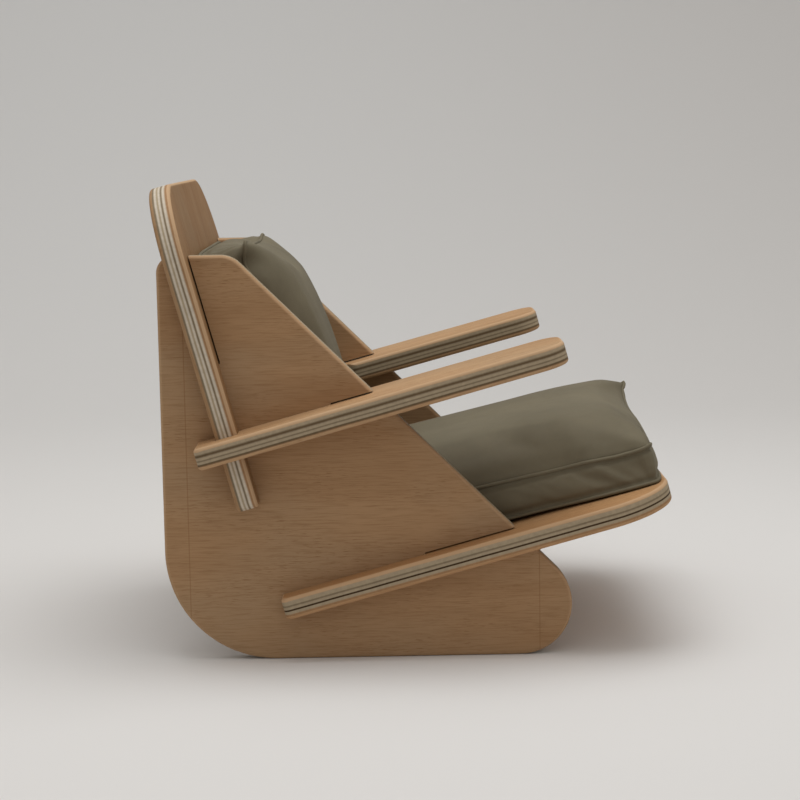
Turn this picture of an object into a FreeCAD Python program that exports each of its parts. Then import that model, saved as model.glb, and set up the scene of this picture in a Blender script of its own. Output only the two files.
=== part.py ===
# Lounge chair of slotted plywood boards with raised side wings and two loose box cushions.
# Millimetres. +X is forward, +Y is the sitter's left, +Z is up. The origin is on the floor,
# under the middle of the chair.
import FreeCAD, Part
import math
import os

from FreeCAD import Placement, Rotation, Vector

# Driving dimensions

# Side panels, upright boards
panel_thickness = 30.0
panel_spread = 600.0            # over the two outer faces
panel_height = 660.0            # floor to the flat top of the wing
wing_top_length = 120.0         # rear edge to where the front slope meets the flat top
wing_slope = 45.0               # degrees, fall of the front edge
wing_front_radius = 45.0
wing_rear_radius = 27.0
foot_radius = 84.0
heel_radius = 180.0

# Tilted frame: the seat's top face and the back's front face meet at a right angle
recline = 15.0                  # degrees, rise of the seat and lean of the back
seat_corner_x = 197.3           # that meeting line, from the panel's rear edge
seat_corner_z = 109.8           # and above the floor

# Boards that cross the side panels
board_thickness = 36.0
edge_round = 6.0                # rounding of every board's outline edges
slot_play = 2.5                 # gap above the seat and the arms and in front of the back
joint_clearance = 0.5           # gap on each side of a panel inside a board's slot

# Seat board, along the tilted frame
seat_overhang = 40.0            # outside each side panel
seat_rear = 10.0                # behind the back's front face
seat_front = 649.0              # in front of the back's front face
seat_slot_end = 233.0
seat_front_radius = 112.0
seat_rear_radius = 12.0

# Back board, up the tilted frame
back_overhang = 40.0            # outside each side panel
back_bottom = 154.0             # above the seat's top face
back_top = 687.0
back_slot_end = 390.0
back_top_radius = 130.0
back_bottom_radius = 15.0

# Arm boards
arm_top = 277.4                 # above the seat's top face
arm_rear = 71.0                 # behind the back's front face
arm_front = 540.0
arm_slot_end = 154.0
arm_shoulder_step = 11.0        # from the slot's end to where the part inside the panel begins
arm_inside = 50.0               # reach inside the panel's inner face
arm_notch_wall = 37.0           # wood left outside the back board, at the arm's rear end
arm_taper = 19.0                # how much nearer the outer edge is to the panel at the tip
arm_tip_radius = 44.0
arm_shoulder_radius = 25.0
arm_rear_radius = 10.0

# Cushions
cover_thickness = 2.0
welt_width = 5.0                # how far a welt stands out of its seam
welt_thickness = 4.0
rest_gap = 0.5                  # between a cushion and the board that carries it
cushion_corner_radius = 28.0
cushion_draw_in = 8.0           # how far each side pulls in between its corners
base_inset = 26.0               # the flat base is this much smaller than the seam outline

seat_cushion_rear = 10.0        # in front of the back's front face
seat_cushion_setback = 5.0      # from the seat board's front edge
seat_cushion_side_gap = 5.0     # from each side panel to the welts
seat_cushion_low_seam = 8.0     # above the seat board
seat_cushion_high_seam = 70.0
seat_cushion_crown = 88.0       # rise of the crown above the upper seam
seat_cushion_crown_run = 140.0  # distance over which the crown rises

back_cushion_sink = 6.0         # lower end below the top of the seat cushion's crown
back_cushion_top = 566.0        # above the seat board
back_cushion_side_gap = 7.0     # from each side panel to the welts
back_cushion_low_seam = 8.0     # in front of the back board
back_cushion_high_seam = 95.0
back_cushion_crown = 70.0
back_cushion_crown_run = 180.0

crown_angles = (0.0, 30.0, 55.0, 78.0)   # degrees along the crown's quarter ellipse
cut_margin = 60.0               # how far a cutting block runs past the board that it cuts
corner_growth = 0.6             # how much rounder the crown's corners get, per millimetre of inset
corner_limit = 0.8              # largest corner radius, as a share of the outline's smaller half size

# Places worked out from the driving dimensions
outer_face = panel_spread / 2
inner_face = outer_face - panel_thickness
seat_half_width = outer_face + seat_overhang
back_half_width = outer_face + back_overhang
arm_bottom = arm_top - board_thickness
arm_shoulder = arm_slot_end + arm_shoulder_step
arm_outer_edge = back_half_width + arm_notch_wall
seat_cushion_front = seat_front - seat_cushion_setback
seat_cushion_width = 2 * (inner_face - seat_cushion_side_gap)
back_cushion_bottom = seat_cushion_high_seam + seat_cushion_crown - back_cushion_sink
back_cushion_width = 2 * (inner_face - back_cushion_side_gap)
tilt = Placement(Vector(seat_corner_x, 0, seat_corner_z), Rotation(Vector(0, 1, 0), -recline))


def arc_edge(first, middle, last):
    return Part.Arc(first, middle, last).toShape()


def line_edge(first, last):
    return Part.LineSegment(first, last).toShape()


def rounded_outline(corners, radii):
    """Closed wire through the corners, each rounded by its own radius, with no sharp corner left."""
    count = len(corners)
    starts, middles, ends = [], [], []
    for index in range(count):
        corner = corners[index]
        back = (corners[index - 1] - corner).normalize()
        ahead = (corners[(index + 1) % count] - corner).normalize()
        half = back.getAngle(ahead) / 2
        reach = radii[index] / math.tan(half)
        middle_line = (back + ahead).normalize()
        centre = corner + middle_line * (radii[index] / math.sin(half))
        starts.append(corner + back * reach)
        middles.append(centre - middle_line * radii[index])
        ends.append(corner + ahead * reach)
    edges = []
    for index in range(count):
        following = (index + 1) % count
        edges.append(arc_edge(starts[index], middles[index], ends[index]))
        edges.append(line_edge(ends[index], starts[following]))
    return Part.Wire(edges)


def rounded_board(outline, thickness_vector):
    """Board of the outline's shape with its edges rounded over on both faces."""
    blank = Part.Face(outline).extrude(thickness_vector)
    direction = Vector(thickness_vector).normalize()
    rim = [edge for edge in blank.Edges if abs(edge.tangentAt(edge.FirstParameter).dot(direction)) < 0.5]
    return blank.makeFillet(edge_round, rim)


def block(low, high):
    """Box between two opposite corners, in the frame it is used in."""
    return Part.makeBox(high.x - low.x, high.y - low.y, high.z - low.z, low)


def tilted(shape):
    """Move a shape from the tilted frame into the chair's frame."""
    moved = shape.copy()
    moved.Placement = tilt.multiply(moved.Placement)
    return moved


def mirrored(shape):
    return shape.mirror(Vector(0, 0, 0), Vector(0, 1, 0))


# Side panels

def panel_outline():
    """Convex outline: upright rear edge, flat wing top, straight slope, round foot, flat base, round heel."""
    slope = math.radians(wing_slope)
    turn = wing_front_radius * math.tan(slope / 2)
    down_slope = Vector(math.cos(slope), 0, -math.sin(slope))
    off_slope = Vector(math.sin(slope), 0, math.cos(slope))
    wing_corner = Vector(wing_top_length, 0, panel_height)
    wing_start = wing_corner - Vector(turn, 0, 0)
    wing_end = wing_corner + down_slope * turn
    wing_centre = wing_start - Vector(0, 0, wing_front_radius)
    wing_middle = wing_centre + Vector(math.sin(slope / 2), 0, math.cos(slope / 2)) * wing_front_radius

    # The foot's circle touches both the slope and the floor.
    foot_drop = (panel_height - foot_radius) / math.tan(slope)
    foot_x = wing_top_length + foot_drop - foot_radius / math.sin(slope)
    foot_centre = Vector(foot_x, 0, foot_radius)
    foot_start = foot_centre + off_slope * foot_radius
    foot_middle = foot_centre + Vector(foot_radius, 0, 0)
    foot_end = foot_centre - Vector(0, 0, foot_radius)

    heel_centre = Vector(heel_radius, 0, heel_radius)
    heel_start = Vector(heel_radius, 0, 0)
    heel_middle = heel_centre - Vector(1, 0, 1).normalize() * heel_radius
    heel_end = Vector(0, 0, heel_radius)

    rear_centre = Vector(wing_rear_radius, 0, panel_height - wing_rear_radius)
    rear_start = Vector(0, 0, rear_centre.z)
    rear_middle = rear_centre + Vector(-1, 0, 1).normalize() * wing_rear_radius
    rear_end = Vector(wing_rear_radius, 0, panel_height)

    return Part.Wire([
        arc_edge(rear_start, rear_middle, rear_end),
        line_edge(rear_end, wing_start),
        arc_edge(wing_start, wing_middle, wing_end),
        line_edge(wing_end, foot_start),
        arc_edge(foot_start, foot_middle, foot_end),
        line_edge(foot_end, heel_start),
        arc_edge(heel_start, heel_middle, heel_end),
        line_edge(heel_end, rear_start),
    ])


def panel_slots():
    """The three slots that the back, the arm and the seat slide into, as tilted blocks."""
    low_y = inner_face - cut_margin
    high_y = outer_face + cut_margin
    reach = panel_height + panel_spread
    back_slot = block(
        Vector(-board_thickness, low_y, back_slot_end),
        Vector(slot_play, high_y, reach))
    arm_slot = block(
        Vector(arm_slot_end, low_y, arm_bottom),
        Vector(reach, high_y, arm_top + slot_play))
    seat_slot = block(
        Vector(seat_slot_end, low_y, -board_thickness),
        Vector(reach, high_y, slot_play))
    return [tilted(back_slot), tilted(arm_slot), tilted(seat_slot)]


def side_panel():
    """Panel on the sitter's left."""
    board = rounded_board(panel_outline(), Vector(0, panel_thickness, 0))
    board.translate(Vector(0, inner_face, 0))
    return board.cut(panel_slots())


# Boards that cross the side panels

def straddle_slots(low, high):
    """Two cutting blocks where a crossing board straddles the side panels."""
    left = block(
        Vector(low.x, inner_face - joint_clearance, low.z),
        Vector(high.x, outer_face + joint_clearance, high.z))
    return [left, mirrored(left)]


def seat_panel():
    corners = [
        Vector(-seat_rear, -seat_half_width, -board_thickness),
        Vector(seat_front, -seat_half_width, -board_thickness),
        Vector(seat_front, seat_half_width, -board_thickness),
        Vector(-seat_rear, seat_half_width, -board_thickness),
    ]
    radii = [seat_rear_radius, seat_front_radius, seat_front_radius, seat_rear_radius]
    board = rounded_board(rounded_outline(corners, radii), Vector(0, 0, board_thickness))
    slots = straddle_slots(
        Vector(-seat_rear - cut_margin, 0, -board_thickness - cut_margin),
        Vector(seat_slot_end, 0, cut_margin))
    return tilted(board.cut(slots))


def back_panel():
    corners = [
        Vector(-board_thickness, -back_half_width, back_bottom),
        Vector(-board_thickness, back_half_width, back_bottom),
        Vector(-board_thickness, back_half_width, back_top),
        Vector(-board_thickness, -back_half_width, back_top),
    ]
    radii = [back_bottom_radius, back_bottom_radius, back_top_radius, back_top_radius]
    board = rounded_board(rounded_outline(corners, radii), Vector(board_thickness, 0, 0))
    slots = straddle_slots(
        Vector(-board_thickness - cut_margin, 0, back_bottom - cut_margin),
        Vector(cut_margin, 0, back_slot_end))
    return tilted(board.cut(slots))


def arm_relief(low_z, height):
    """What the arm leaves free behind its shoulder, inside the panel, with a round shoulder corner."""
    inside = inner_face - arm_inside
    round_x = arm_shoulder + arm_shoulder_radius
    round_y = inside + arm_shoulder_radius
    diagonal = arm_shoulder_radius * math.cos(math.radians(45))
    rear_x = -arm_rear - cut_margin
    points = [
        Vector(round_x, inside, low_z),
        Vector(round_x - diagonal, round_y - diagonal, low_z),
        Vector(arm_shoulder, round_y, low_z),
        Vector(arm_shoulder, inner_face, low_z),
        Vector(rear_x, inner_face, low_z),
        Vector(rear_x, inside - cut_margin, low_z),
        Vector(round_x, inside - cut_margin, low_z),
    ]
    edges = [arc_edge(points[0], points[1], points[2])]
    for first, last in zip(points[2:], points[3:] + points[:1]):
        edges.append(line_edge(first, last))
    return Part.Face(Part.Wire(edges)).extrude(Vector(0, 0, height))


def arm():
    """Arm on the sitter's left: tip, tongue in the panel's slot, and prong along the outside."""
    inside = inner_face - arm_inside
    corners = [
        Vector(-arm_rear, inside, arm_bottom),
        Vector(arm_front, inside, arm_bottom),
        Vector(arm_front, arm_outer_edge - arm_taper, arm_bottom),
        Vector(-arm_rear, arm_outer_edge, arm_bottom),
    ]
    radii = [arm_rear_radius, arm_tip_radius, arm_tip_radius, arm_rear_radius]
    board = rounded_board(rounded_outline(corners, radii), Vector(0, 0, board_thickness))
    low_z = arm_bottom - cut_margin
    high_z = arm_top + cut_margin
    panel_side = block(
        Vector(-arm_rear - cut_margin, inside - cut_margin, low_z),
        Vector(arm_slot_end, outer_face + joint_clearance, high_z))
    back_notch = block(
        Vector(-board_thickness - joint_clearance, inner_face, low_z),
        Vector(joint_clearance, back_half_width + joint_clearance, high_z))
    return tilted(board.cut([panel_side, back_notch, arm_relief(low_z, high_z - low_z)]))


# Cushions, built lying down: X along, Y across, Z through the crown

def meeting_point(first_centre, first_radius, second_centre, second_radius):
    """Where two circles in the XY plane cross, on the side nearer the origin."""
    across = second_centre - first_centre
    distance = across.Length
    along = (first_radius ** 2 - second_radius ** 2 + distance ** 2) / (2 * distance)
    aside = math.sqrt(first_radius ** 2 - along ** 2)
    across.normalize()
    side = Vector(-across.y, across.x, 0)
    foot = first_centre + across * along
    return min((foot + side * aside, foot - side * aside), key=lambda point: point.Length)


def pillow_outline(half_length, half_width, draw_in, corner_radius, height):
    """Closed wire of four sides that pull in between four round corners, all tangent arcs."""
    end_radius = (half_width ** 2 + draw_in ** 2) / (2 * draw_in)
    side_radius = (half_length ** 2 + draw_in ** 2) / (2 * draw_in)
    end_centre = Vector(half_length - draw_in + end_radius, 0, 0)
    side_centre = Vector(0, half_width - draw_in + side_radius, 0)
    corner = meeting_point(
        end_centre, end_radius + corner_radius, side_centre, side_radius + corner_radius)
    to_end = (end_centre - corner).normalize() * corner_radius
    to_side = (side_centre - corner).normalize() * corner_radius
    outward = (to_end + to_side).normalize() * corner_radius
    on_end = corner + to_end
    on_side = corner + to_side
    on_corner = corner + outward
    end_middle = Vector(half_length - draw_in, 0, 0)
    side_middle = Vector(0, half_width - draw_in, 0)

    def at(point, sign_x, sign_y):
        return Vector(point.x * sign_x, point.y * sign_y, height)

    return Part.Wire([
        arc_edge(at(on_end, 1, -1), at(end_middle, 1, 1), at(on_end, 1, 1)),
        arc_edge(at(on_end, 1, 1), at(on_corner, 1, 1), at(on_side, 1, 1)),
        arc_edge(at(on_side, 1, 1), at(side_middle, 1, 1), at(on_side, -1, 1)),
        arc_edge(at(on_side, -1, 1), at(on_corner, -1, 1), at(on_end, -1, 1)),
        arc_edge(at(on_end, -1, 1), at(end_middle, -1, 1), at(on_end, -1, -1)),
        arc_edge(at(on_end, -1, -1), at(on_corner, -1, -1), at(on_side, -1, -1)),
        arc_edge(at(on_side, -1, -1), at(side_middle, 1, -1), at(on_side, 1, -1)),
        arc_edge(at(on_side, 1, -1), at(on_corner, 1, -1), at(on_end, 1, -1)),
    ])


class Cushion:
    """Box cushion: foam slab in a side band, padded crown, base panel, and a welt in both seams."""

    def __init__(self, length, width, low_seam, high_seam, crown, crown_run):
        self.half_length = length / 2 - welt_width
        self.half_width = width / 2 - welt_width
        self.low_seam = low_seam
        self.high_seam = high_seam
        self.crown = crown
        self.crown_run = crown_run

    def outline(self, inset, height):
        smaller = min(self.half_length, self.half_width)
        draw_in = cushion_draw_in * (1 - inset / smaller)
        radius = min(cushion_corner_radius + corner_growth * inset, corner_limit * (smaller - inset))
        return pillow_outline(
            self.half_length - inset, self.half_width - inset, draw_in, radius, height)

    def prism(self, inset, low, high):
        """Upright block of the seam's outline, made smaller by the inset."""
        return Part.Face(self.outline(inset, low)).extrude(Vector(0, 0, high - low))

    def base_panel(self):
        """Bottom panel, flat in the middle and rising to the lower seam."""
        wires = [self.outline(base_inset, rest_gap), self.outline(0, self.low_seam)]
        return Part.makeLoft(wires, True, True)

    def foam(self):
        return self.prism(cover_thickness, self.low_seam, self.high_seam)

    def side_band(self):
        return self.prism(0, self.low_seam, self.high_seam).cut(self.foam())

    def crown_pad(self):
        """Padded panel above the upper seam, a quarter ellipse from the seam to its flat middle."""
        wires = []
        for degrees in crown_angles:
            angle = math.radians(degrees)
            inset = self.crown_run * (1 - math.cos(angle))
            wires.append(self.outline(inset, self.high_seam + self.crown * math.sin(angle)))
        return Part.makeLoft(wires, True, False)

    def welt(self, height, panel):
        """Folded strip that stands out of the seam between the band and a panel, and seats on both."""
        low = height - welt_thickness / 2
        high = height + welt_thickness / 2
        strip = self.prism(-welt_width, low, high).cut(self.prism(welt_width, low, high))
        return strip.cut([self.prism(0, self.low_seam, self.high_seam), panel])


def placed_cushion_parts(cushion, centre, rotation, names):
    """The cushion's solids under their node names, moved onto the board that carries them."""
    crown_pad = cushion.crown_pad()
    base_panel = cushion.base_panel()
    shapes = {
        names[0]: cushion.foam(),
        names[1]: crown_pad,
        names[2]: cushion.side_band(),
        names[3]: base_panel,
        names[4]: cushion.welt(cushion.high_seam, crown_pad),
        names[5]: cushion.welt(cushion.low_seam, base_panel),
    }
    place = Placement(centre, rotation)
    for shape in shapes.values():
        shape.Placement = place.multiply(shape.Placement)
    return {name: tilted(shape) for name, shape in shapes.items()}


def seat_cushion_parts():
    cushion = Cushion(
        seat_cushion_front - seat_cushion_rear, seat_cushion_width, seat_cushion_low_seam,
        seat_cushion_high_seam, seat_cushion_crown, seat_cushion_crown_run)
    centre = Vector((seat_cushion_front + seat_cushion_rear) / 2, 0, 0)
    names = (
        "seat_cushion_foam", "seat_cushion_top", "seat_cushion_side_band",
        "seat_cushion_bottom", "seat_cushion_welt_top", "seat_cushion_welt_bottom")
    return placed_cushion_parts(cushion, centre, Rotation(), names)


def back_cushion_parts():
    """The same kind of cushion stood on its end, with its crown facing forward."""
    cushion = Cushion(
        back_cushion_top - back_cushion_bottom, back_cushion_width, back_cushion_low_seam,
        back_cushion_high_seam, back_cushion_crown, back_cushion_crown_run)
    centre = Vector(0, 0, (back_cushion_top + back_cushion_bottom) / 2)
    names = (
        "back_cushion_foam", "back_cushion_front", "back_cushion_side_band",
        "back_cushion_rear", "back_cushion_welt_front", "back_cushion_welt_rear")
    return placed_cushion_parts(cushion, centre, Rotation(Vector(0, 1, 0), 90), names)


def chair_parts():
    left_panel = side_panel()
    left_arm = arm()
    parts = {
        "side_panel_left": left_panel,
        "side_panel_right": mirrored(left_panel),
        "back_panel": back_panel(),
        "seat_panel": seat_panel(),
        "arm_left": left_arm,
        "arm_right": mirrored(left_arm),
    }
    parts.update(seat_cushion_parts())
    parts.update(back_cushion_parts())
    return parts


def main():
    os.makedirs("parts", exist_ok=True)
    parts = chair_parts()
    box = Part.makeCompound(list(parts.values())).optimalBoundingBox(False)
    middle = Vector(-box.Center.x, 0, 0)
    print("overall size", round(box.XLength, 2), round(box.YLength, 2), round(box.ZLength, 2))
    print("rear edge of the side panels at X", round(middle.x, 3))
    for name, shape in parts.items():
        (solid,) = shape.Solids
        solid.translate(middle)
        solid.exportStep("parts/" + name + ".step")
        print(name, solid.isValid(), round(solid.Volume / 1000, 1), "cm3")


main()
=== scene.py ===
import math

import bpy
import numpy as np
from mathutils import Matrix, Vector


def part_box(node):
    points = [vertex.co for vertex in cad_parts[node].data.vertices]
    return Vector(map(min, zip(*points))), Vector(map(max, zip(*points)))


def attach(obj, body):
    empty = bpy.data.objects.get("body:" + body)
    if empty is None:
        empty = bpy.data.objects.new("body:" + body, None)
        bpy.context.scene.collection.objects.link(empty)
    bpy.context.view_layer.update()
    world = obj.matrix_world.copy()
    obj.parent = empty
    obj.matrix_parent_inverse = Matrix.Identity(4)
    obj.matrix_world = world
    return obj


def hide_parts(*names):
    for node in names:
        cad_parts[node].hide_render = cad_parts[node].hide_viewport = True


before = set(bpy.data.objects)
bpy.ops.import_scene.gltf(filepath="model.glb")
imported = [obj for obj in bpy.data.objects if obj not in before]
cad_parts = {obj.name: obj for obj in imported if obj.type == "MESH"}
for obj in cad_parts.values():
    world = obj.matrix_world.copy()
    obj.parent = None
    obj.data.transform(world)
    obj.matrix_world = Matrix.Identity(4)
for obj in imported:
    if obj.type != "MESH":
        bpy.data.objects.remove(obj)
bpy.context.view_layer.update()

# Sizes, in metres and degrees

TILT = math.radians(15.0)               # rise of the seat and lean of the back
CORNER_FROM_REAR = 0.1973               # from the side panels' rear edge to where seat and back meet
CORNER_HEIGHT = 0.1098                  # of that line above the floor
BOARD = 0.036                           # thickness of the seat, the back and the arms
ARM_BOTTOM = 0.2414                     # above the seat's top face
PANEL_INNER = 0.270                     # half the space between the side panels
PANEL = 0.030                           # thickness of a side panel

REAR_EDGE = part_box("side_panel_right")[0].x
CORNER = Vector((REAR_EDGE + CORNER_FROM_REAR, 0.0, CORNER_HEIGHT))
FORWARD = Vector((math.cos(TILT), 0.0, math.sin(TILT)))
UPWARD = Vector((-math.sin(TILT), 0.0, math.cos(TILT)))
SIDEWAYS = Vector((0.0, 1.0, 0.0))

X_AXIS, Y_AXIS, Z_AXIS = range(3)


def seat_point(forward, sideways, upward):
    """Point of the tilted frame, which starts where the seat's top meets the back's front."""
    return CORNER + FORWARD * forward + SIDEWAYS * sideways + UPWARD * upward


# Material helpers

COLOUR_MIX_INPUTS = (6, 7)              # sockets of a Mix node that take and give colours
COLOUR_MIX_OUTPUT = 2
NEW_STOP = 0.5                          # where a ramp's new stop begins, before it gets its own place


class Shader:
    """One node material, with short calls to add and join its nodes."""

    def __init__(self, name):
        self.material = bpy.data.materials.new(name)
        self.material.use_nodes = True
        self.tree = self.material.node_tree
        self.surface = self.tree.nodes["Principled BSDF"]

    def node(self, kind, inputs=None, **settings):
        made = self.tree.nodes.new(kind)
        for key, value in settings.items():
            setattr(made, key, value)
        for key, value in (inputs or {}).items():
            self.feed(made.inputs[key], value)
        return made

    def feed(self, socket, value):
        if isinstance(value, bpy.types.NodeSocket):
            self.tree.links.new(value, socket)
        elif socket.type == "RGBA" and len(value) == 3:
            socket.default_value = (*value, 1.0)
        else:
            socket.default_value = value

    def maths(self, operation, first, second=0.0):
        return self.node("ShaderNodeMath", {0: first, 1: second}, operation=operation).outputs[0]

    def mix(self, share, first, second, blend="MIX"):
        made = self.node("ShaderNodeMix", {0: share}, data_type="RGBA", blend_type=blend)
        for socket, colour in zip(COLOUR_MIX_INPUTS, (first, second)):
            self.feed(made.inputs[socket], colour)
        return made.outputs[COLOUR_MIX_OUTPUT]

    def ramp(self, value, stops):
        """Colour ramp through (place, colour) stops; a colour may be one grey level."""
        made = self.node("ShaderNodeValToRGB", {0: value})
        elements = made.color_ramp.elements
        while len(elements) < len(stops):
            elements.new(NEW_STOP)
        for element, (place, colour) in zip(elements, stops):
            shade = (colour,) * 3 if isinstance(colour, float) else colour
            element.position = place
            element.color = (*shade, 1.0)
        return made.outputs[0]

    def noise(self, vector, scale=1.0, detail=3.0, roughness=0.5, distortion=0.0):
        values = {"Vector": vector, "Scale": scale, "Detail": detail,
                  "Roughness": roughness, "Distortion": distortion}
        return self.node("ShaderNodeTexNoise", values).outputs["Fac"]

    def vector_maths(self, operation, first, second):
        return self.node("ShaderNodeVectorMath", {0: first, 1: second}, operation=operation).outputs[0]

    def part(self, vector, axis):
        return self.node("ShaderNodeSeparateXYZ", {0: vector}).outputs["XYZ"[axis]]

    def bump(self, height, strength, distance, normal=None):
        made = self.node("ShaderNodeBump", {"Height": height, "Strength": strength, "Distance": distance})
        if normal is not None:
            self.feed(made.inputs["Normal"], normal)
        return made.outputs[0]

    def finish(self, **values):
        for key, value in values.items():
            self.feed(self.surface.inputs[key.replace("_", " ")], value)
        return self.material


def toned(colour, tone):
    return tuple(channel * share for channel, share in zip(colour, tone))


# Wood, with colours as linear light

VENEER = (0.372, 0.215, 0.108)
VENEER_DARK = (0.250, 0.132, 0.058)
VENEER_PALE = (0.440, 0.266, 0.140)
VENEER_BLOOM = (0.400, 0.262, 0.150)    # greyer clouds in the veneer
VENEER_WEAR_AND_HIGHLIGHT = (0.580, 0.390, 0.235)     # rounded edges, paler partly from wear and partly as a painted highlight

PALE_PLY = (0.640, 0.560, 0.450)
LIGHT_PLY = (0.420, 0.335, 0.225)
GREY_PLY = (0.245, 0.188, 0.120)
DARK_PLY = (0.150, 0.102, 0.058)
GLUE_LINE = (0.070, 0.042, 0.022)

# Plies from a board's lower, rear or right face to the opposite one, as shares of its thickness
# The arms' top stop is their upper rounded edge, paler partly from wear and partly as a painted highlight
ARM_LAYERS = [
    (0.15, VENEER), (0.21, DARK_PLY), (0.25, DARK_PLY), (0.29, LIGHT_PLY), (0.36, LIGHT_PLY),
    (0.40, GREY_PLY), (0.43, GREY_PLY), (0.47, LIGHT_PLY), (0.54, LIGHT_PLY), (0.61, DARK_PLY),
    (0.66, DARK_PLY), (0.74, LIGHT_PLY), (0.82, LIGHT_PLY), (0.90, VENEER_WEAR_AND_HIGHLIGHT),
]
SEAT_LAYERS = [
    (0.22, VENEER), (0.28, LIGHT_PLY), (0.37, LIGHT_PLY), (0.39, GLUE_LINE), (0.45, GLUE_LINE),
    (0.47, LIGHT_PLY), (0.55, LIGHT_PLY), (0.60, GREY_PLY), (0.64, GREY_PLY), (0.68, LIGHT_PLY),
    (0.86, LIGHT_PLY),
]
BACK_LAYERS = [
    (0.12, VENEER), (0.19, GREY_PLY), (0.23, GREY_PLY), (0.28, PALE_PLY), (0.33, PALE_PLY),
    (0.38, LIGHT_PLY), (0.42, LIGHT_PLY), (0.46, PALE_PLY), (0.51, PALE_PLY), (0.56, GREY_PLY),
    (0.60, GREY_PLY), (0.65, PALE_PLY), (0.71, PALE_PLY), (0.78, VENEER),
]
PANEL_LAYERS = [
    (0.16, LIGHT_PLY), (0.32, LIGHT_PLY), (0.35, DARK_PLY), (0.39, LIGHT_PLY), (0.48, LIGHT_PLY),
    (0.52, GREY_PLY), (0.57, LIGHT_PLY), (0.66, LIGHT_PLY), (0.69, DARK_PLY), (0.73, LIGHT_PLY),
]

# Each board's veneer against the common colours. The back's tone is darker as painted shade on its front,
# and the arms' and the seat's tones are lighter as painted light on their tops.
SIDE_TONE = (0.98, 1.00, 1.02)
BACK_SHADED_TONE = (0.78, 0.75, 0.68)
SEAT_LIT_TONE = (1.12, 1.05, 0.94)
ARM_LIT_TONE = (1.10, 1.11, 1.10)

# Scales of the veneer's patterns along and across the grain, and what their noise turns into
PATTERN_STEP = (1.7, 0.9, 2.3)          # how far the pattern moves from one board to the next
BAND_GRAIN = (1.3, 16.0)
BAND_STOPS = [(0.34, 0.0), (0.68, 1.0)]
BLOOM_GRAIN = (4.0, 8.0)
BLOOM_STOPS = [(0.42, 0.0), (0.66, 0.7)]
STREAK_GRAIN = (20.0, 360.0)
STREAK_STOPS = [(0.46, 0.0), (0.78, 0.65)]
FLECK_GRAIN = (50.0, 760.0)
FLECK_STOPS = [(0.58, 0.0), (0.68, 0.80)]
PATCH_GRAIN = (7.0, 20.0)               # flecks come in patches
PATCH_STOPS = [(0.40, 0.0), (0.60, 1.0)]

PLY_DRIFT = 0.0016                      # how much the plies wander
PLY_DRIFT_SCALE = 9.0
FIBRE_SCALE = 160.0
FIBRE_SHARE = 0.35
FIBRE_STOPS = [(0.3, 0.55), (0.7, 1.0)]
FLAT_STOPS = [(0.05, 1.0), (0.16, 0.0)]  # plies show where the edge is flat, by its normal across the board

# Places on the way round an edge, from 0 on the lower, rear or right face to 1 on the opposite one
WEAR_AND_HIGHLIGHT_PLACES = (0.005, 0.06, 0.42, 0.58, 0.94, 0.995)
BOARD_WEAR_AND_HIGHLIGHT = (0.25, 0.70)             # share of wear and painted highlight on the first and the second half of that way; the second half, the upper arris of a level board, is paler mostly as painted highlight
# Side panels' rounded edges: wear, plus a painted highlight along their rims
PANEL_WEAR_AND_HIGHLIGHT = (0.28, 0.28)

SIDE_JOINTS = (0.040, 0.608)            # lines in the side panels' veneer, from their rear edge
JOINT_WIDTH = 0.0012
JOINT_STOPS = [(0.3, 0.5), (1.0, 0.0)]

WOOD_ROUGHNESS_STOPS = [(0.3, 0.50), (0.75, 0.62)]
WOOD_SPECULAR = 0.05
GRAIN_STRENGTH = 0.10
GRAIN_DEPTH = 0.0006

TILTED = (0.0, -TILT, 0.0)
UPRIGHT = (0.0, 0.0, 0.0)


def board_place(shader, origin, turn):
    """Coordinates and normal along a board's own axes."""
    source = shader.node("ShaderNodeTexCoord")
    place = shader.node("ShaderNodeMapping", {"Vector": source.outputs["Object"]}, vector_type="TEXTURE")
    place.inputs["Location"].default_value = origin
    place.inputs["Rotation"].default_value = turn
    facing = shader.node("ShaderNodeMapping", {"Vector": source.outputs["Normal"]}, vector_type="TEXTURE")
    facing.inputs["Rotation"].default_value = turn
    return place.outputs[0], facing.outputs[0]


def veneer(shader, place, along, through, seed, tone):
    """Face veneer: broad bands, greyer clouds, fine streaks and short dark flecks along the grain."""
    def grain(scales):
        long_scale, wide_scale = scales
        scale = [wide_scale] * 3
        scale[along] = long_scale
        scale[through] = long_scale
        return shader.vector_maths("MULTIPLY", shifted, scale)

    shifted = shader.vector_maths("ADD", place, tuple(seed * step for step in PATTERN_STEP))
    bands = shader.noise(grain(BAND_GRAIN), roughness=0.55, distortion=0.8)
    streaks = shader.noise(grain(STREAK_GRAIN), detail=4.0, roughness=0.6, distortion=0.3)
    flecks = shader.noise(grain(FLECK_GRAIN), detail=2.0)
    patch = shader.noise(grain(PATCH_GRAIN), detail=2.0)
    bloom = shader.noise(grain(BLOOM_GRAIN), detail=2.0)
    dark = toned(VENEER_DARK, tone)
    colour = shader.mix(shader.ramp(bands, BAND_STOPS), toned(VENEER, tone), toned(VENEER_PALE, tone))
    colour = shader.mix(shader.ramp(bloom, BLOOM_STOPS), colour, toned(VENEER_BLOOM, tone))
    colour = shader.mix(shader.ramp(streaks, STREAK_STOPS), colour, dark)
    fleck_share = shader.maths("MULTIPLY", shader.ramp(flecks, FLECK_STOPS), shader.ramp(patch, PATCH_STOPS))
    colour = shader.mix(fleck_share, colour, dark)
    return colour, streaks, flecks


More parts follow.
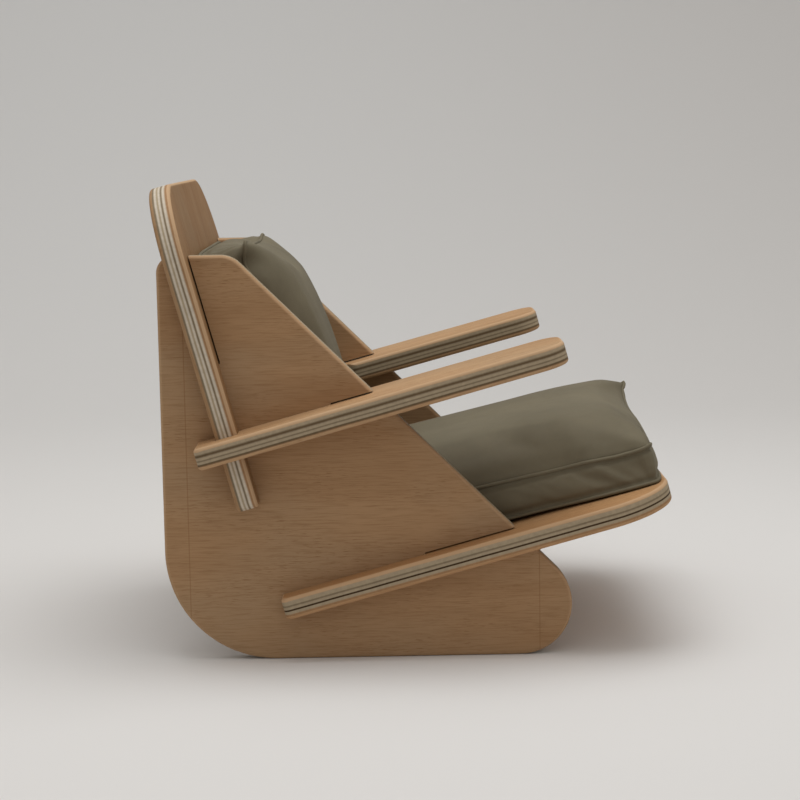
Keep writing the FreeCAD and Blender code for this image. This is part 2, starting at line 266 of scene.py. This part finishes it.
def layered_edge(shader, place, facing, through, start, thickness, layers):
    """Plies on the flat of a board's edge, and how much of them shows there."""
    wobble = shader.noise(place, PLY_DRIFT_SCALE, detail=2.0)
    drift = shader.maths("MULTIPLY", shader.maths("SUBTRACT", wobble, 0.5), PLY_DRIFT)
    depth = shader.maths("ADD", shader.part(place, through), drift)
    share = shader.maths("DIVIDE", shader.maths("SUBTRACT", depth, start), thickness)
    fibres = shader.ramp(shader.noise(place, FIBRE_SCALE, roughness=0.6), FIBRE_STOPS)
    plies = shader.mix(FIBRE_SHARE, shader.ramp(share, layers), fibres, "MULTIPLY")
    flat = shader.ramp(shader.maths("ABSOLUTE", shader.part(facing, through)), FLAT_STOPS)
    return plies, flat


def wear_and_highlight_edge(shader, facing, through, wear_and_highlight):
    """How much the rounded edges of a board are painted pale, partly as wear and partly as a painted
    highlight: 0 on its faces.
    """
    low, high = wear_and_highlight
    levels = (0.0, low, low, high, high, 0.0)
    turned = shader.maths("ADD", shader.maths("MULTIPLY", shader.part(facing, through), 0.5), 0.5)
    return shader.ramp(turned, list(zip(WEAR_AND_HIGHLIGHT_PLACES, levels)))


def veneer_joints(shader, place, joints):
    """Fine lines across the grain where sheets of veneer meet."""
    length = shader.part(place, X_AXIS)
    lines = 0.0
    for joint in joints:
        off_line = shader.maths("ABSOLUTE", shader.maths("SUBTRACT", length, joint))
        line = shader.ramp(shader.maths("DIVIDE", off_line, JOINT_WIDTH), JOINT_STOPS)
        lines = shader.maths("MAXIMUM", lines, line)
    return lines


def plywood(name, along, through, start, thickness, layers, origin, turn, seed, tone,
            wear_and_highlight=BOARD_WEAR_AND_HIGHLIGHT, joints=()):
    """Plywood whose grain runs along one axis and whose plies are stacked through another."""
    shader = Shader(name)
    place, facing = board_place(shader, origin, turn)
    face, streaks, flecks = veneer(shader, place, along, through, seed, tone)
    if joints:
        face = shader.mix(veneer_joints(shader, place, joints), face, VENEER_DARK)
    # Pale rounded edges: partly wear, partly a painted highlight that is strongest along the upper arris
    face = shader.mix(wear_and_highlight_edge(shader, facing, through, wear_and_highlight), face, VENEER_WEAR_AND_HIGHLIGHT)
    plies, flat = layered_edge(shader, place, facing, through, start, thickness, layers)
    relief = shader.bump(shader.maths("ADD", streaks, flecks), GRAIN_STRENGTH, GRAIN_DEPTH)
    return shader.finish(
        Base_Color=shader.mix(flat, face, plies),
        Roughness=shader.ramp(streaks, WOOD_ROUGHNESS_STOPS),
        Normal=relief,
        Specular_IOR_Level=WOOD_SPECULAR)


def dress_boards():
    panel = dict(along=X_AXIS, through=Y_AXIS, thickness=PANEL, layers=PANEL_LAYERS, turn=UPRIGHT,
                 origin=(REAR_EDGE, 0.0, 0.0), tone=SIDE_TONE, wear_and_highlight=PANEL_WEAR_AND_HIGHLIGHT, joints=SIDE_JOINTS)
    board = dict(thickness=BOARD, origin=CORNER, turn=TILTED)
    level = dict(board, along=X_AXIS, through=Z_AXIS)
    arm = dict(level, start=ARM_BOTTOM, layers=ARM_LAYERS, tone=ARM_LIT_TONE)
    # The back's darker tone is painted shade, and the arms' and the seat's lighter tones are painted light.
    looks = {
        "side_panel_right": plywood("side_right", start=-PANEL_INNER - PANEL, seed=1.0, **panel),
        "side_panel_left": plywood("side_left", start=PANEL_INNER, seed=2.0, **panel),
        "back_panel": plywood("back_board", along=Z_AXIS, through=X_AXIS, start=-BOARD,
                              layers=BACK_LAYERS, seed=3.0, tone=BACK_SHADED_TONE, **board),
        "seat_panel": plywood("seat_board", start=-BOARD, layers=SEAT_LAYERS, seed=4.0,
                              tone=SEAT_LIT_TONE, **level),
        "arm_right": plywood("arm_right", seed=5.0, **arm),
        "arm_left": plywood("arm_left", seed=6.0, **arm),
    }
    for name, material in looks.items():
        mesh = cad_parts[name].data
        mesh.materials.clear()
        mesh.materials.append(material)


# Leather

LEATHER = (0.174, 0.150, 0.100)         # linear light
CLOUD_SCALE = 7.0
CLOUD_STOPS = [(0.30, 0.0), (0.72, 1.0)]
CLOUD_DARK = (0.88, 0.88, 0.88)
CLOUD_PALE = (1.10, 1.10, 1.10)
MOTTLE_SCALE = 60.0
MOTTLE_SHARE = 0.25
MOTTLE_STOPS = [(0.3, 0.70), (0.7, 1.0)]
MOTTLE_STRENGTH = 0.12
MOTTLE_DEPTH = 0.0012
PORE_SCALE = 900.0
PORE_STOPS = [(0.0, 0.0), (0.35, 1.0)]
PORE_STRENGTH = 0.16
PORE_DEPTH = 0.0004
LEATHER_ROUGHNESS_STOPS = [(0.25, 0.56), (0.75, 0.70)]
LEATHER_SPECULAR = 0.10


def leather(name, colour):
    """Matt leather with clouded colour, a mottled surface and fine pores."""
    shader = Shader(name)
    source = shader.node("ShaderNodeTexCoord").outputs["Object"]
    cells = shader.node("ShaderNodeTexVoronoi", {"Vector": source, "Scale": PORE_SCALE},
                        feature="DISTANCE_TO_EDGE")
    pores = shader.ramp(cells.outputs["Distance"], PORE_STOPS)
    cloud = shader.ramp(shader.noise(source, CLOUD_SCALE, detail=4.0, roughness=0.55), CLOUD_STOPS)
    mottle = shader.noise(source, MOTTLE_SCALE, detail=4.0, roughness=0.6)
    tone = shader.mix(cloud, toned(colour, CLOUD_DARK), toned(colour, CLOUD_PALE))
    tone = shader.mix(MOTTLE_SHARE, tone, shader.ramp(mottle, MOTTLE_STOPS), "MULTIPLY")
    relief = shader.bump(pores, PORE_STRENGTH, PORE_DEPTH)
    relief = shader.bump(mottle, MOTTLE_STRENGTH, MOTTLE_DEPTH, relief)
    return shader.finish(
        Base_Color=tone,
        Roughness=shader.ramp(mottle, LEATHER_ROUGHNESS_STOPS),
        Normal=relief,
        Specular_IOR_Level=LEATHER_SPECULAR)


# Cushions

GRID = 0.007                            # spacing of the cushions' meshes
BAND_ROWS = 10                          # rows of faces up a side band
BAND_BULGE = 0.003                      # how far a side band stands out between its seams
DRAW_IN = 0.008                         # how far each side pulls in between its corners
CORNER_CUT = 0.009                      # how far rounding takes each corner in, both ways
CORNER_SHARPNESS = 12                   # the higher, the shorter the rounded stretch
REST_GAP = 0.001                        # between a cushion and the board that carries it
BASE_FLATNESS = 14                      # the base is flat, and rises to its seam only near the rim

SWELL_FRAMES = 20
SWELL_PRESSURE = 3.0
SWELL_LIMIT = 0.014                     # most that the simulation may move a point
SEAM_GATHER = 0.012                     # share by which the upper seam is sewn shorter
COVER_EASE = -0.004                     # the same for the panels, which below 0 are cut larger
CLOTH_QUALITY = 7
CLOTH_MASS = 0.3
CLOTH_STRETCH = 12.0                    # stiffness, as the next two are
CLOTH_SHEAR = 5.0
CLOTH_BENDING = 0.4
AIR_DAMPING = 2.0
TINY = 1e-9                             # length that stands for 0 where a point hasn't moved
CALM_PASSES = 14                        # smoothing that leaves folds only near the seams
CALM_MARGIN = 0.22

WELT_RADIUS = 0.0030
WELT_SIDES = 10
SEAM_SINK = 0.0045                      # how far the side band is pulled in right beside a seam


def rising(value, start, end):
    """0 up to the start, 1 from the end on, and straight in between."""
    return np.clip((value - start) / (end - start), 0, 1)


def positive(value):
    return np.clip(value, 0, 1)


def between(first, last, share):
    return first + (last - first) * share


def mesh_piece(name, points, faces, material):
    mesh = bpy.data.meshes.new(name)
    mesh.from_pydata([tuple(point) for point in points], [], [tuple(face) for face in faces])
    mesh.shade_smooth()
    mesh.materials.append(material)
    piece = bpy.data.objects.new(name, mesh)
    bpy.context.scene.collection.objects.link(piece)
    return piece


def mesh_points(mesh):
    flat = np.empty(len(mesh.vertices) * 3)
    mesh.vertices.foreach_get("co", flat)
    return flat.reshape(-1, 3)


class Cushion:
    """Box cushion over s and t, which run from -1 to 1 along it and across it. Rise is 0 at the lower
    seam and 1 at the upper one. The seams and the crown are heights above the board that carries it.
    Each kind of cushion gives its own upper seam and swelling."""

    def __init__(self, start, end, half_width, low_seam, high_seam, crown, place):
        self.start, self.end = start, end
        self.half_width = half_width
        self.low_seam, self.high_seam = low_seam, high_seam
        self.crown = crown
        self.place = place

    def along(self, s, t, rise):
        middle = (self.start + self.end) / 2
        half = (self.end - self.start) / 2
        return middle + s * (half - DRAW_IN * np.abs(s) * (1 - t ** 2) - self.corner_cut(s, t, rise))

    def across(self, s, t, rise):
        return t * (self.half_width - DRAW_IN * np.abs(t) * (1 - s ** 2) - self.corner_cut(s, t, rise))

    def corner_cut(self, s, t, rise):
        return CORNER_CUT * np.abs(s * t) ** CORNER_SHARPNESS

    def top(self, s, t):
        return self.seam(s, t) + self.crown * self.swelling(s, t)

    def base(self, s, t):
        rim = np.maximum(np.abs(s), np.abs(t)) ** BASE_FLATNESS
        return REST_GAP + (self.foot_seam(s) - REST_GAP) * rim

    def foot_seam(self, s):
        return np.full_like(s, self.low_seam)

    def build(self, name, material):
        """One closed mesh: crown grid, side band and base grid, which meet in the two seams."""
        rows = round((self.end - self.start) / GRID)
        columns = round(2 * self.half_width / GRID)
        s, t = np.meshgrid(np.linspace(-1, 1, rows + 1), np.linspace(-1, 1, columns + 1), indexing="ij")
        grid = np.arange(s.size).reshape(s.shape)
        rim = np.concatenate([grid[:-1, 0], grid[-1, :-1], grid[:0:-1, -1], grid[0, :0:-1]])
        s, t = s.ravel(), t.ravel()
        sheets = [(s, t, 1.0, self.top(s, t), 0.0), (s, t, 0.0, self.base(s, t), 0.0)]
        rim_s, rim_t = s[rim], t[rim]
        low, high = self.foot_seam(rim_s), self.seam(rim_s, rim_t)
        for row in range(1, BAND_ROWS):
            share = row / BAND_ROWS
            bulge = BAND_BULGE * math.sin(math.pi * share)
            sheets.append((rim_s, rim_t, share, low + (high - low) * share, bulge))
        points = []
        for sheet_s, sheet_t, rise, height, bulge in sheets:
            along = self.along(sheet_s, sheet_t, rise) + bulge * sheet_s * (np.abs(sheet_s) == 1)
            across = self.across(sheet_s, sheet_t, rise) + bulge * sheet_t * (np.abs(sheet_t) == 1)
            points += [self.place(*values) for values in zip(along, across, height)]

        quads = np.stack([grid[:-1, :-1], grid[1:, :-1], grid[1:, 1:], grid[:-1, 1:]], -1).reshape(-1, 4)
        faces = list(quads) + list(quads[:, ::-1] + s.size)
        rings = [rim + s.size]
        rings += [np.arange(rim.size) + 2 * s.size + row * rim.size for row in range(BAND_ROWS - 1)]
        rings.append(rim)
        for lower, upper in zip(rings, rings[1:]):
            faces += list(np.stack([lower, np.roll(lower, -1), np.roll(upper, -1), upper], -1))
        self.seams = {"high": rim, "low": rim + s.size}
        self.beside_seams = {"high": rings[-2], "low": rings[1]}
        self.pinned = np.arange(s.size) + s.size
        self.crown_grid = grid
        from_rim = 1 - np.maximum(np.abs(s), np.abs(t))
        self.calm = rising(from_rim, 0, CALM_MARGIN).reshape(*grid.shape, 1)
        self.piece = mesh_piece(name, points, faces, material)
        self.crease_seams()
        return self.piece

    def crease_seams(self):
        mesh = self.piece.data
        ends = np.empty(len(mesh.edges) * 2, int)
        mesh.edges.foreach_get("vertices", ends)
        ends = ends.reshape(-1, 2)
        sharp = np.zeros(len(ends))
        for loop in self.seams.values():
            sharp[np.isin(ends, loop).all(axis=1)] = 1.0
        mesh.attributes.new("crease_edge", "FLOAT", "EDGE").data.foreach_set("value", sharp)

    def swell(self):
        """Inflate the cover as cloth, with its base held and its upper seam gathered."""
        piece = self.piece
        start = mesh_points(piece.data)
        held = piece.vertex_groups.new(name="held")
        held.add([int(index) for index in self.pinned], 1.0, "REPLACE")
        sewn = piece.vertex_groups.new(name="sewn")
        sewn.add([int(index) for index in self.seams["high"]], 1.0, "REPLACE")
        cloth = piece.modifiers.new("swell", "CLOTH")
        settings = cloth.settings
        settings.quality = CLOTH_QUALITY
        settings.mass = CLOTH_MASS
        settings.tension_stiffness = CLOTH_STRETCH
        settings.compression_stiffness = CLOTH_STRETCH
        settings.shear_stiffness = CLOTH_SHEAR
        settings.bending_stiffness = CLOTH_BENDING
        settings.air_damping = AIR_DAMPING
        settings.use_pressure = True
        settings.uniform_pressure_force = SWELL_PRESSURE
        settings.vertex_group_mass = held.name
        settings.vertex_group_shrink = sewn.name
        settings.shrink_min = COVER_EASE
        settings.shrink_max = SEAM_GATHER
        settings.effector_weights.gravity = 0.0
        cloth.point_cache.frame_end = SWELL_FRAMES
        scene = bpy.context.scene
        for number in range(1, SWELL_FRAMES + 1):
            scene.frame_set(number)
        shaped = piece.evaluated_get(bpy.context.evaluated_depsgraph_get())
        moved = mesh_points(shaped.data) - start
        piece.modifiers.remove(cloth)
        scene.frame_set(1)
        self.calm_crown(moved)
        length = np.linalg.norm(moved, axis=1, keepdims=True)
        limited = start + moved * np.minimum(1.0, SWELL_LIMIT / np.maximum(length, TINY))
        piece.data.vertices.foreach_set("co", limited.ravel())
        piece.data.update()

    def calm_crown(self, moved):
        """Smooth the crown's movement, all the more the further it is from the seam."""
        field = moved[self.crown_grid]
        for _ in range(CALM_PASSES):
            spread = np.pad(field, ((1, 1), (1, 1), (0, 0)), mode="edge")
            around = (spread[:-2, 1:-1] + spread[2:, 1:-1] + spread[1:-1, :-2] + spread[1:-1, 2:]) / 4
            field = field + self.calm * (around - field)
        moved[self.crown_grid] = field

    def sink_seams(self):
        """Pull the side band in right beside its seams, so that the welts stand proud."""
        mesh = self.piece.data
        points = mesh_points(mesh)
        normals = np.empty_like(points)
        mesh.vertex_normals.foreach_get("vector", normals.ravel())
        for beside in self.beside_seams.values():
            points[beside] -= SEAM_SINK * normals[beside]
        mesh.vertices.foreach_set("co", points.ravel())
        mesh.update()

    def refine(self):
        smoother = self.piece.modifiers.new("soft_surface", "SUBSURF")
        smoother.levels = 1
        smoother.render_levels = 1

    def welt(self, name, seam, material):
        """Cord in the seam, covered in the same leather."""
        loop = self.seams[seam]
        mesh = self.piece.data
        path = mesh_points(mesh)[loop]
        outward = np.array([mesh.vertices[int(index)].normal for index in loop])
        ahead = np.roll(path, -1, axis=0) - np.roll(path, 1, axis=0)
        ahead /= np.linalg.norm(ahead, axis=1, keepdims=True)
        outward -= ahead * np.sum(outward * ahead, axis=1, keepdims=True)
        outward /= np.linalg.norm(outward, axis=1, keepdims=True)
        aside = np.cross(ahead, outward)
        turns = np.arange(WELT_SIDES) * 2 * math.pi / WELT_SIDES
        points = []
        for centre, up, side in zip(path, outward, aside):
            spokes = [up * math.cos(turn) + side * math.sin(turn) for turn in turns]
            points += [centre + WELT_RADIUS * spoke for spoke in spokes]
        ring = np.arange(len(points)).reshape(len(loop), WELT_SIDES)
        next_ring = np.roll(ring, -1, axis=0)
        quads = np.stack([ring, np.roll(ring, -1, axis=1), np.roll(next_ring, -1, axis=1), next_ring], -1)
        return mesh_piece(name, points, quads.reshape(-1, 4), material)


class SeatCushion(Cushion):
    """Its front stands out, and its far front corner is pulled forward and up. The near side is at t = -1
    and the front at s = 1."""

    FULL_FRONT = 0.019                  # how far the middle of the front stands out
    FULL_FOOT = 0.25                    # share of that at the foot
    SKEW = 0.004                        # how much further forward the far side lies at the front
    FAR_CORNER = (0.006, 0.024)         # forward reach of a front corner, at the foot and at the upper seam
    NEAR_CORNER = (-0.0055, 0.004)
    CORNER_SIZE = 3                     # the higher, the shorter the stretch that a corner pulls along
    OVERHANG = 0.010                    # of the crown over the front seam
    OVERHANG_START = 0.75
    OVERHANG_FLATNESS = 6
    SPREAD = 0.010                      # how much each side widens in front of the side panels
    SPREAD_RANGE = (0.3, 0.7)

    SEAM_TWIST = 0.003                  # the upper seam is higher at the far side and lower at the front
    SEAM_FALL = 0.008
    NEAR_FALL = 0.002
    NEAR_FALL_RANGE = (-0.3, 0.7)
    DROOP = 0.005                       # of the near seam before its corner, which hooks up again
    DROOP_RANGE = (0.6, 1.0)
    HOOK = 0.0045
    HOOK_SHARPNESS = 20
    EAR = 0.026                         # how far the far corner is pulled up
    FOOT_FALL = 0.006                   # of the lower seam towards the front

    FRONT_FLATNESS = 3.6                # the higher, the further the crown stays full towards that side
    REAR_FLATNESS = 8
    FAR_FLATNESS = 4
    NEAR_FLATNESS = 6
    FULLNESS = 0.98
    NEAR_FULLNESS = 0.14                # more filling in the near half
    FOLD_DEPTH = 0.04                   # shallow fold across the near side of the crown
    FOLD_WIDTH = 0.06
    FOLD_PLACE = 0.53
    FOLD_SLANT = 0.18
    FOLD_RANGE = (0.3, 0.9)

    def front_corner(self, s, t):
        """1 at the front corner where t is 1, fading away from it."""
        return (positive(s) * positive(t)) ** self.CORNER_SIZE

    def along(self, s, t, rise):
        full_front = self.FULL_FRONT * between(self.FULL_FOOT, 1, rise) * positive(s) ** 2 * (1 - t ** 2)
        skew = self.SKEW * t * (1 + s) / 2
        far = between(*self.FAR_CORNER, rise) * self.front_corner(s, t)
        near = between(*self.NEAR_CORNER, rise) * self.front_corner(s, -t)
        roll = np.sin(math.pi * rising(s, self.OVERHANG_START, 1)) * (1 - t ** self.OVERHANG_FLATNESS)
        return super().along(s, t, rise) + full_front + skew + far + near + self.OVERHANG * roll * rise

    def across(self, s, t, rise):
        free = rising(s, *self.SPREAD_RANGE)
        return super().across(s, t, rise) + self.SPREAD * t * free ** 2 * (3 - 2 * free)

    def seam(self, s, t):
        near = positive(-t)
        slope = self.SEAM_TWIST * t - self.SEAM_FALL * s
        slope -= self.NEAR_FALL * near * rising(s, *self.NEAR_FALL_RANGE)
        droop = self.DROOP * near * rising(s, *self.DROOP_RANGE)
        hook = self.HOOK * (positive(s) * near) ** self.HOOK_SHARPNESS
        return self.high_seam + slope - droop + hook + self.EAR * self.front_corner(s, t)

    def foot_seam(self, s):
        return self.low_seam - self.FOOT_FALL * s

    def swelling(self, s, t):
        near = positive(-t)
        front = 1 - positive(s) ** self.FRONT_FLATNESS
        rear = 1 - positive(-s) ** self.REAR_FLATNESS
        sides = 1 - positive(t) ** self.FAR_FLATNESS - near ** self.NEAR_FLATNESS
        off_fold = s - self.FOLD_PLACE + self.FOLD_SLANT * (t + 1)
        along_fold = rising(-t, *self.FOLD_RANGE) ** 2
        fold = self.FOLD_DEPTH * np.exp(-(off_fold / self.FOLD_WIDTH) ** 2) * along_fold
        filling = self.FULLNESS + self.NEAR_FULLNESS * near * (1 - near ** 2) - fold
        return np.sqrt(front * rear * sides) * filling


class BackCushion(Cushion):
    """Its filling has settled, so it is fullest below the middle. The near side is at t = 1 and the top
    at s = 1."""

    TOP_CORNERS = 0.009                 # how far the front's upper corners are pulled up
    CORNER_SIZE = 4
    SKEW = 0.006                        # how much higher the near side of the front lies at the top
    REAR_LIFT = 0.002                   # how much higher the rear stands at the top, and lower at the foot
    REAR_DROP = 0.018
    SOFT_CORNER = 0.016                 # more rounding of the rear's near upper corner
    SOFT_CORNER_SIZE = 6

    SEAM_TWIST = 0.001
    TUCK = 0.007                        # how far the near seam is pulled in below its upper corner
    TUCK_PLACE = 0.84
    TUCK_LENGTH = 0.11
    TUCK_SHARPNESS = 6

    SETTLING = 0.3
    LENGTH_FLATNESS = 2.6               # the higher, the further the crown stays full
    LENGTH_ROUNDNESS = 0.42             # the lower, the steeper the crown rises from its seams
    WIDTH_FLATNESS = 4
    WIDTH_ROUNDNESS = 0.5

    def along(self, s, t, rise):
        upper = (1 + s) / 2
        corners = self.TOP_CORNERS * rise * np.abs(s * t) ** self.CORNER_SIZE
        straight_top = DRAW_IN * (1 - t ** 2)
        top = self.SKEW * t * rise + straight_top + self.REAR_LIFT * (1 - rise) + corners
        foot = -straight_top - self.REAR_DROP * (1 - rise)
        return super().along(s, t, rise) + between(foot, top, upper)

    def corner_cut(self, s, t, rise):
        soft_corner = self.SOFT_CORNER * (1 - rise) * (positive(s) * positive(t)) ** self.SOFT_CORNER_SIZE
        return super().corner_cut(s, t, rise) + soft_corner

    def seam(self, s, t):
        along_tuck = np.exp(-((s - self.TUCK_PLACE) / self.TUCK_LENGTH) ** 2)
        tuck = self.TUCK * positive(t) ** self.TUCK_SHARPNESS * along_tuck
        return self.high_seam + self.SEAM_TWIST * s * t - tuck

    def swelling(self, s, t):
        settled = s + self.SETTLING * (1 - s ** 2)
        lengthwise = (1 - np.abs(settled) ** self.LENGTH_FLATNESS) ** self.LENGTH_ROUNDNESS
        return lengthwise * (1 - np.abs(t) ** self.WIDTH_FLATNESS) ** self.WIDTH_ROUNDNESS


def back_place(along, across, height):
    """Point of the back cushion, which is laid out along the back, seen from its front."""
    return seat_point(height, -across, along)


def make_cushions():
    cover = leather("olive_leather", LEATHER)
    cushions = {
        "seat_cushion": SeatCushion(start=0.016, end=0.648, half_width=0.259, low_seam=0.010,
                                    high_seam=0.077, crown=0.058, place=seat_point),
        "back_cushion": BackCushion(start=0.141, end=0.561, half_width=0.257, low_seam=0.008,
                                    high_seam=0.089, crown=0.070, place=back_place),
    }
    panels = {
        "seat_cushion": ("top", "bottom"),
        "back_cushion": ("front", "rear"),
    }
    for body, cushion in cushions.items():
        crown, base = panels[body]
        piece = cushion.build(body + "_cover", cover)
        cushion.swell()
        cushion.sink_seams()
        cushion.refine()
        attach(piece, body)
        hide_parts(body + "_foam", body + "_" + crown, body + "_side_band", body + "_" + base)
        for seam, panel in (("high", crown), ("low", base)):
            welt = cushion.welt(body + "_piping_" + panel, seam, cover)
            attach(welt, body)
            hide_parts(body + "_welt_" + panel)


# Stage, light and camera

# The camera's place is measured from the floor, midway between the side panels' rear edges
CAMERA_PLACE = Vector((0.362456, -3.441992, 0.837472))
CAMERA_YAW = 0.0073809                  # radians, here and below
CAMERA_PITCH = 0.1310663
CAMERA_ROLL = -0.0165204
CAMERA_LENS = 88.756                    # millimetres, as is the sensor's width
SENSOR_WIDTH = 36.0

BACKDROP_COLOUR = (0.725, 0.710, 0.692)
BACKDROP_ROUGHNESS = 0.9
FLOOR_HALF = 40.0
WALL_PLACE = 5.5
BEND_RADIUS = 3.0
WALL_HEIGHT = 7.0
BEND_STEPS = 24

ROOM_COLOUR = (1.0, 0.965, 0.93, 1.0)
HORIZON_LIGHT = 0.18                    # strength of the surrounding light, from the side and from above
ZENITH_LIGHT = 0.84
SEEN_SURROUNDINGS = 0.55                # how pale the surroundings look beyond the floor


def make_camera():
    data = bpy.data.cameras.new("photo_camera")
    data.lens = CAMERA_LENS
    data.sensor_width = SENSOR_WIDTH
    camera = bpy.data.objects.new("photo_camera", data)
    bpy.context.scene.collection.objects.link(camera)
    ahead = Vector((math.sin(CAMERA_YAW) * math.cos(CAMERA_PITCH),
                    math.cos(CAMERA_YAW) * math.cos(CAMERA_PITCH),
                    -math.sin(CAMERA_PITCH)))
    right = Vector((math.cos(CAMERA_YAW), -math.sin(CAMERA_YAW), 0.0))
    up = right.cross(ahead)
    rolled_right = right * math.cos(CAMERA_ROLL) + up * math.sin(CAMERA_ROLL)
    rolled_up = up * math.cos(CAMERA_ROLL) - right * math.sin(CAMERA_ROLL)
    turn = Matrix((rolled_right, rolled_up, -ahead)).transposed()
    camera.matrix_world = Matrix.Translation(CAMERA_PLACE + Vector((REAR_EDGE, 0.0, 0.0))) @ turn.to_4x4()
    bpy.context.scene.camera = camera


def make_backdrop():
    """Pale floor that bends up into a wall far behind the chair."""
    profile = [(-FLOOR_HALF, 0.0)]
    for step in range(BEND_STEPS + 1):
        angle = math.pi / 2 * step / BEND_STEPS
        profile.append((WALL_PLACE - BEND_RADIUS + BEND_RADIUS * math.sin(angle),
                        BEND_RADIUS - BEND_RADIUS * math.cos(angle)))
    profile.append((WALL_PLACE, WALL_HEIGHT))
    points = [(side * FLOOR_HALF, y, z) for y, z in profile for side in (-1, 1)]
    faces = [(2 * i, 2 * i + 1, 2 * i + 3, 2 * i + 2) for i in range(len(profile) - 1)]
    paint = Shader("backdrop_paint").finish(Base_Color=BACKDROP_COLOUR, Roughness=BACKDROP_ROUGHNESS)
    backdrop = mesh_piece("backdrop", points, faces, paint)


def area_light(name, place, target, size, watts, colour):
    data = bpy.data.lights.new(name, "AREA")
    data.shape = "RECTANGLE"
    data.size, data.size_y = size
    data.energy = watts
    data.color = colour
    lamp = bpy.data.objects.new(name, data)
    lamp.location = place
    lamp.rotation_euler = (Vector(target) - Vector(place)).to_track_quat("-Z", "Y").to_euler()
    bpy.context.scene.collection.objects.link(lamp)


def make_light():
    """Soft room light that grows towards the zenith, one large lamp overhead and one on the backdrop."""
    world = bpy.data.worlds.new("soft_room")
    world.use_nodes = True
    nodes, links = world.node_tree.nodes, world.node_tree.links
    direction = nodes.new("ShaderNodeTexCoord")
    height = nodes.new("ShaderNodeSeparateXYZ")
    level = nodes.new("ShaderNodeMapRange")
    level.inputs["To Min"].default_value = HORIZON_LIGHT
    level.inputs["To Max"].default_value = ZENITH_LIGHT
    links.new(direction.outputs["Generated"], height.inputs[0])
    links.new(height.outputs["Z"], level.inputs["Value"])
    seen = nodes.new("ShaderNodeLightPath")
    strength = nodes.new("ShaderNodeMix")
    strength.inputs["B"].default_value = SEEN_SURROUNDINGS
    links.new(seen.outputs["Is Camera Ray"], strength.inputs["Factor"])
    links.new(level.outputs[0], strength.inputs["A"])
    links.new(strength.outputs["Result"], nodes["Background"].inputs["Strength"])
    nodes["Background"].inputs["Color"].default_value = ROOM_COLOUR
    bpy.context.scene.world = world
    area_light("overhead", place=(0.05, -0.12, 3.2), target=(0.0, 0.0, 0.0), size=(2.4, 2.0),
               watts=50.0, colour=(0.95, 0.98, 1.0))
    area_light("backdrop_wash", place=(-1.2, 2.6, 3.2), target=(-0.6, 5.4, 1.0), size=(2.4, 1.0),
               watts=12.0, colour=(0.80, 0.92, 1.0))


bpy.context.scene.view_settings.view_transform = "Standard"
dress_boards()
make_camera()
make_backdrop()
make_light()
make_cushions()
